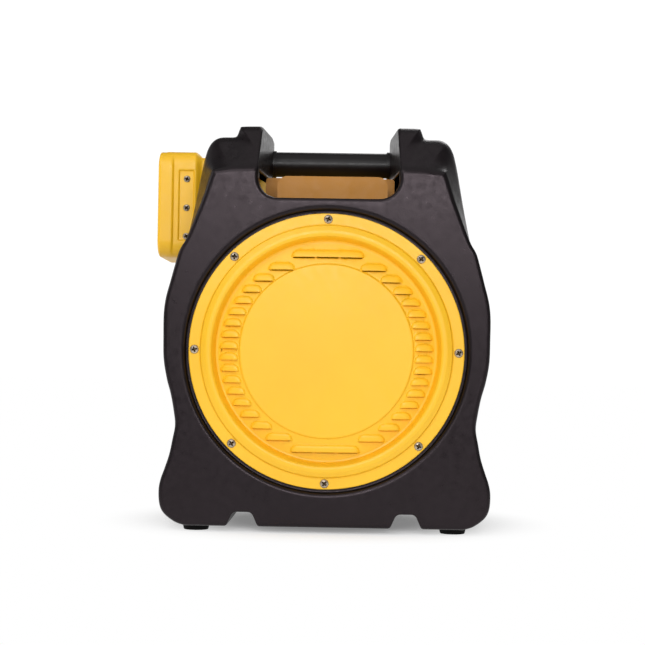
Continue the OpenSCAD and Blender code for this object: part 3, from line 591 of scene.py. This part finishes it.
def material(name, color, rough=0.45, metal=0.0, vary=0.06, grain=1400.0,
             bump=0.12, broad=9.0, coat=0.0, tint=None, rim=None, scuff=0.0,
             spec=0.5, sub=0.0, gloss_tint=None):
    """Moulded or metal surface: broad tone variation, fine grain in the colour
    and the height, roughness that wanders, and an optional painted shade by the rim
    attribute."""
    m = bpy.data.materials.new(name)
    m.use_nodes = True
    t = m.node_tree
    t.nodes.clear()
    link = t.links.new

    def node(kind, **values):
        n = t.nodes.new(kind)
        for k, v in values.items():
            if k in n.inputs:
                n.inputs[k].default_value = v
            else:
                setattr(n, k, v)
        return n

    out = node("ShaderNodeOutputMaterial")
    bsdf = node("ShaderNodeBsdfPrincipled", Metallic=metal)
    bsdf.inputs["Specular IOR Level"].default_value = spec
    if gloss_tint:
        bsdf.inputs["Specular Tint"].default_value = (*gloss_tint, 1)
    bsdf.inputs["Coat Weight"].default_value = coat
    bsdf.inputs["Coat Roughness"].default_value = 0.18
    if sub:
        bsdf.inputs["Subsurface Weight"].default_value = sub
        bsdf.inputs["Subsurface Radius"].default_value = (0.9, 0.5, 0.15)
        bsdf.inputs["Subsurface Scale"].default_value = 0.002
    coord = node("ShaderNodeTexCoord")
    wide = node("ShaderNodeTexNoise", Scale=broad, Detail=5.0, Roughness=0.6)
    fine = node("ShaderNodeTexNoise", Scale=grain, Detail=3.0, Roughness=0.55)
    mid = node("ShaderNodeTexNoise", Scale=grain / 12, Detail=4.0, Roughness=0.6)
    for n in (wide, fine, mid):
        link(coord.outputs["Object"], n.inputs["Vector"])
    dark = [c * (1 - vary) for c in color]
    light = [min(1, c * (1 + vary)) for c in (tint or color)]
    ramp = node("ShaderNodeMix", data_type="RGBA")
    ramp.inputs[6].default_value = (*dark, 1)
    ramp.inputs[7].default_value = (*light, 1)
    blend = node("ShaderNodeMapRange")
    blend.inputs["From Min"].default_value = 0.32
    blend.inputs["From Max"].default_value = 0.68
    link(wide.outputs["Fac"], blend.inputs["Value"])
    link(blend.outputs["Result"], ramp.inputs[0])
    shade = ramp.outputs[2]
    speck = node("ShaderNodeMix", data_type="RGBA", blend_type="MULTIPLY")
    speck.inputs[0].default_value = 1.0
    gain = node("ShaderNodeMapRange")
    gain.inputs["From Min"].default_value = 0.25
    gain.inputs["From Max"].default_value = 0.75
    gain.inputs["To Min"].default_value = 1 - vary * 0.7
    gain.inputs["To Max"].default_value = 1 + vary * 0.5
    link(fine.outputs["Fac"], gain.inputs["Value"])
    link(shade, speck.inputs[6])
    link(gain.outputs["Result"], speck.inputs[7])
    shade = speck.outputs[2]
    # painted shade: the rim colour mixed in where the rim attribute is high
    if rim:
        att = node("ShaderNodeAttribute", attribute_name="rim")
        edge = node("ShaderNodeMix", data_type="RGBA")
        edge.inputs[7].default_value = (*rim, 1)
        link(att.outputs["Fac"], edge.inputs[0])
        link(shade, edge.inputs[6])
        shade = edge.outputs[2]
    link(shade, bsdf.inputs["Base Color"])
    rr = node("ShaderNodeMapRange")
    rr.inputs["From Min"].default_value = 0.3
    rr.inputs["From Max"].default_value = 0.7
    rr.inputs["To Min"].default_value = max(0.03, rough - 0.06)
    rr.inputs["To Max"].default_value = rough + 0.08
    link(mid.outputs["Fac"], rr.inputs["Value"])
    rough_out = rr.outputs["Result"]
    if scuff:
        rub = node("ShaderNodeTexNoise", Scale=38.0, Detail=8.0, Roughness=0.72)
        rub.inputs["Distortion"].default_value = 1.6
        link(coord.outputs["Object"], rub.inputs["Vector"])
        pick = node("ShaderNodeMapRange")
        pick.inputs["From Min"].default_value = 0.6
        pick.inputs["From Max"].default_value = 0.72
        pick.inputs["To Max"].default_value = scuff
        link(rub.outputs["Fac"], pick.inputs["Value"])
        add = node("ShaderNodeMath", operation="ADD")
        link(rough_out, add.inputs[0])
        link(pick.outputs["Result"], add.inputs[1])
        rough_out = add.outputs[0]
    link(rough_out, bsdf.inputs["Roughness"])
    if bump:
        b1 = node("ShaderNodeBump")
        b1.inputs["Strength"].default_value = bump
        b1.inputs["Distance"].default_value = 0.0004
        link(fine.outputs["Fac"], b1.inputs["Height"])
        b2 = node("ShaderNodeBump")
        b2.inputs["Strength"].default_value = bump * 0.5
        b2.inputs["Distance"].default_value = 0.001
        link(mid.outputs["Fac"], b2.inputs["Height"])
        link(b1.outputs["Normal"], b2.inputs["Normal"])
        link(b2.outputs["Normal"], bsdf.inputs["Normal"])
    link(bsdf.outputs["BSDF"], out.inputs["Surface"])
    return m


def lin(r, g, b):
    """A screen colour, 0 to 255, as linear light."""
    return tuple(((c / 255 + 0.055) / 1.055)**2.4 if c > 10 else c / 255 / 12.92
                 for c in (r, g, b))


SLOTS = {
    # frame_black's rim colour is painted shade on the face's edges and round the cover's
    # recess
    "frame_black": material("frame_black", lin(17, 14, 15), rough=0.33, vary=0.08,
                            grain=1500, bump=0.1, rim=lin(8, 7, 7),
                            tint=lin(20, 16, 18), spec=0.3,
                            gloss_tint=(1.0, 0.82, 0.9)),
    "grip_black": material("grip_black", lin(20, 16, 17), rough=0.35, vary=0.05,
                           grain=1600, bump=0.03, scuff=0.05, spec=0.28),
    # its rim colour is painted shade: orange in the valley, at the steps and under the
    # louvres
    "casing_yellow": material("casing_yellow", lin(248, 190, 30), rough=0.42, vary=0.02,
                              grain=1300, bump=0.05, broad=6, sub=0.04,
                              tint=lin(249, 194, 35), scuff=0.05, spec=0.5,
                              rim=lin(243, 172, 8)),
    # darker than the casing: partly painted shade, as the box sits in shade under the
    # handle, and partly its own duller ochre paint
    "box_ochre": material("box_ochre", lin(176, 118, 35), rough=0.5, vary=0.05,
                          grain=1100, bump=0.1, tint=lin(181, 122, 38), scuff=0.05,
                          spec=0.35),
    # its rim colour is painted shade in the screws' cross recess and round the head's edge
    "zinc_steel": material("zinc_steel", (0.5, 0.43, 0.34), rough=0.38, metal=0.85,
                           vary=0.16, grain=2600, bump=0.1, broad=60,
                           rim=(0.05, 0.03, 0.015)),
    "brass": material("brass", (0.7, 0.46, 0.16), rough=0.3, metal=1.0, vary=0.1,
                      grain=2400, bump=0.08, broad=50),
    "bearing_steel": material("bearing_steel", (0.7, 0.7, 0.72), rough=0.12, metal=1.0,
                              vary=0.05, grain=3000, bump=0.03, broad=60),
    "cast_aluminium": material("cast_aluminium", (0.52, 0.53, 0.54), rough=0.5,
                               metal=0.9, vary=0.12, grain=900, bump=0.3, broad=25),
    "motor_paint": material("motor_paint", lin(58, 58, 62), rough=0.35, vary=0.08,
                            grain=1100, bump=0.15, coat=0.2),
    "core_steel": material("core_steel", (0.3, 0.3, 0.32), rough=0.45, metal=0.9,
                           vary=0.2, grain=1800, bump=0.2, broad=40),
    "copper_wire": material("copper_wire", (0.6, 0.25, 0.08), rough=0.3, metal=0.85,
                            vary=0.25, grain=700, bump=0.6, broad=120, coat=0.4),
    "capacitor_case": material("capacitor_case", lin(34, 34, 36), rough=0.3, vary=0.06,
                               grain=1200, bump=0.05),
    "terminal_plastic": material("terminal_plastic", lin(44, 42, 42), rough=0.5,
                                 vary=0.08, grain=1200, bump=0.15),
    "control_black": material("control_black", lin(30, 29, 30), rough=0.3, vary=0.07,
                              grain=1600, bump=0.08),
    "rocker_red": material("rocker_red", lin(176, 28, 20), rough=0.28, vary=0.06,
                           grain=1500, bump=0.04, coat=0.3),
    "foot_rubber": material("foot_rubber", lin(10, 9, 9), rough=0.8, vary=0.12,
                            grain=1100, bump=0.35, spec=0.15),
    "impeller_aluminium": material("impeller_aluminium", (0.6, 0.61, 0.62), rough=0.34,
                                   metal=1.0, vary=0.08, grain=2000, bump=0.12,
                                   broad=30),
}

slot_of = {s["node"]: s["material_slot"] for s in frame["record"]["subparts"]}
for name, obj in nodes.items():
    m = SLOTS[slot_of[name]]
    if not obj.material_slots:
        obj.data.materials.append(m)
    for s in obj.material_slots:
        s.material = m

# ------------------------------------------------------------------ pieces


def piece(obj, slot, body, *stands_for):
    """Gives a finished mesh its material, its body and the nodes it replaces."""
    obj.data.materials.clear()
    obj.data.materials.append(SLOTS[slot])
    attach(obj, body)
    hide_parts(*stands_for)
    return obj


piece(frame_half("front_shell", False), "frame_black", "housing", "front_frame_face",
      "front_frame_band")
piece(frame_half("rear_shell", True), "frame_black", "housing", "rear_frame_face",
      "rear_frame_band")
piece(cover("front_intake_cover", False), "casing_yellow", "housing", "front_cover")
piece(cover("rear_intake_cover", True), "casing_yellow", "housing", "rear_cover")
piece(outlet(), "casing_yellow", "housing", "outlet_nozzle")

ring = [(SCREW_CIRCLE * math.cos(math.radians(45 * k)),
         AXIS_Z + SCREW_CIRCLE * math.sin(math.radians(45 * k))) for k in range(8)]
# Screws: head radius and height, shank radius and length.  The heads of the
# cover screws stand on the flange, which lies 4 mm below the frame's face.
COVER_SCREW = (5.2, 2.9, 2.1, 16)
NOZZLE_SCREW = (4.2, 2.0, 1.75, 6)
SEAT_Y = HALF - 3.98
NOZZLE_SEAT_X, NOZZLE_SEAT_Y = -178.5, PANEL_Y + 0.02
NOZZLE_ROWS = (357, 392.5, 428.5)
piece(screws("front_screws", *COVER_SCREW,
             [((a, -SEAT_Y, b), (0, -1, 0)) for a, b in ring]),
      "zinc_steel", "housing", "front_cover_screws")
piece(screws("rear_screws", *COVER_SCREW,
             [((a, SEAT_Y, b), (0, 1, 0)) for a, b in ring]),
      "zinc_steel", "housing", "rear_cover_screws")
piece(screws("outlet_screws", *NOZZLE_SCREW,
             [((NOZZLE_SEAT_X, side * NOZZLE_SEAT_Y, b), (0, side, 0))
              for side in (-1, 1) for b in NOZZLE_ROWS]),
      "zinc_steel", "housing", "nozzle_screws")

# --------------------------------------------------------- stage and light

WHITE_FROM, WHITE_TO = 0.1, 0.3      # metres from the middle of the floor
DIM_FROM, DIM_TO = -1.35, -0.97      # metres along y


def floor_material():
    """Pale and matt near the object, shading off to a plain white further out."""
    m = material("floor_pale", (0.86, 0.86, 0.86), rough=0.8, vary=0.01, grain=300,
                 bump=0.0, spec=0.1)
    t = m.node_tree
    bsdf = next(n for n in t.nodes if n.type == "BSDF_PRINCIPLED")
    out = next(n for n in t.nodes if n.type == "OUTPUT_MATERIAL")
    where = t.nodes.new("ShaderNodeTexCoord")
    far = t.nodes.new("ShaderNodeVectorMath")
    far.operation = "LENGTH"
    t.links.new(where.outputs["Object"], far.inputs[0])
    amount = t.nodes.new("ShaderNodeMapRange")
    amount.interpolation_type = "SMOOTHSTEP"
    amount.inputs["From Min"].default_value = WHITE_FROM
    amount.inputs["From Max"].default_value = WHITE_TO
    t.links.new(far.outputs["Value"], amount.inputs["Value"])
    white = t.nodes.new("ShaderNodeEmission")
    white.inputs["Color"].default_value = (1, 1, 1, 1)
    # as dim as the studio is, well in front of the object
    side = t.nodes.new("ShaderNodeSeparateXYZ")
    t.links.new(where.outputs["Object"], side.inputs[0])
    dim = t.nodes.new("ShaderNodeMapRange")
    dim.interpolation_type = "SMOOTHSTEP"
    dim.inputs["From Min"].default_value = DIM_FROM
    dim.inputs["From Max"].default_value = DIM_TO
    dim.inputs["To Min"].default_value = 0.2
    dim.inputs["To Max"].default_value = 1.0
    t.links.new(side.outputs["Y"], dim.inputs["Value"])
    t.links.new(dim.outputs["Result"], white.inputs["Strength"])
    mix = t.nodes.new("ShaderNodeMixShader")
    t.links.new(amount.outputs["Result"], mix.inputs[0])
    t.links.new(bsdf.outputs["BSDF"], mix.inputs[1])
    t.links.new(white.outputs["Emission"], mix.inputs[2])
    t.links.new(mix.outputs["Shader"], out.inputs["Surface"])
    bsdf.inputs["Emission Color"].default_value = (1, 1, 1, 1)
    bsdf.inputs["Emission Strength"].default_value = 0.22
    return m


bpy.ops.mesh.primitive_plane_add(size=30, location=(0, 0, 0))
floor = bpy.context.object
floor.name = "floor"
floor.data.materials.append(floor_material())

# A studio that is white behind the object, dim in front of it and overhead.
world = bpy.data.worlds.new("studio")
bpy.context.scene.world = world
world.use_nodes = True
wt = world.node_tree
sky = wt.nodes["Background"]
way = wt.nodes.new("ShaderNodeTexCoord")
part = wt.nodes.new("ShaderNodeSeparateXYZ")
wt.links.new(way.outputs["Generated"], part.inputs[0])


def ramp(source, lo, hi, a, b):
    """A smooth step from a to b as the source goes from lo to hi."""
    n = wt.nodes.new("ShaderNodeMapRange")
    n.interpolation_type = "SMOOTHSTEP"
    for key, v in (("From Min", lo), ("From Max", hi), ("To Min", a), ("To Max", b)):
        n.inputs[key].default_value = v
    wt.links.new(source, n.inputs["Value"])
    return n.outputs["Result"]


level = wt.nodes.new("ShaderNodeMath")
level.operation = "MULTIPLY"
wt.links.new(ramp(part.outputs["Y"], 0.82, 0.965, 0.2, 1.05), level.inputs[0])
wt.links.new(ramp(part.outputs["Z"], 0.3, 0.75, 1.0, 0.4), level.inputs[1])
sky.inputs["Color"].default_value = (1, 1, 1, 1)
wt.links.new(level.outputs[0], sky.inputs["Strength"])


def area(name, at, target, size, power, size_y=None):
    """A soft rectangular lamp aimed at a target."""
    lamp = bpy.data.lights.new(name, "AREA")
    lamp.energy = power
    lamp.shape = "RECTANGLE"
    lamp.size, lamp.size_y = size, size_y or size
    obj = bpy.data.objects.new(name, lamp)
    obj.location = at
    obj.rotation_euler = (Vector(target) - Vector(at)).to_track_quat("-Z", "Y").to_euler()
    bpy.context.scene.collection.objects.link(obj)
    return obj


area("key", (-0.75, -1.7, 1.75), (0, 0, 0.28), 1.7, 14, 0.8)
area("card", (0.1, -2.3, 0.86), (0, 0, 0.3), 1.4, 23, 0.44)
area("top", (0.05, -0.5, 1.95), (0, 0, 0.4), 2.4, 7, 1.7)

# fills for the views from the outlet side and from behind
area("left_fill", (-2.4, 0.1, 1.1), (0, 0, 0.25), 1.0, 8)
area("back_fill", (0.6, 2.2, 2.1), (0, 0, 0.25), 1.2, 12)

camera = bpy.data.cameras.new("camera")
camera.lens = 94.2
camera.sensor_width = 36
cam = bpy.data.objects.new("camera", camera)
bpy.context.scene.collection.objects.link(cam)
cam.location = (0.035, -2.17, 0.205)
look = Vector((-0.005, -0.17, 0.250)) - cam.location
quat = look.to_track_quat("-Z", "Y")
cam.rotation_mode = "QUATERNION"
cam.rotation_quaternion = quat @ Matrix.Rotation(math.radians(0.9), 4, "Z").to_quaternion()
bpy.context.scene.camera = cam
bpy.context.scene.view_settings.view_transform = "Standard"
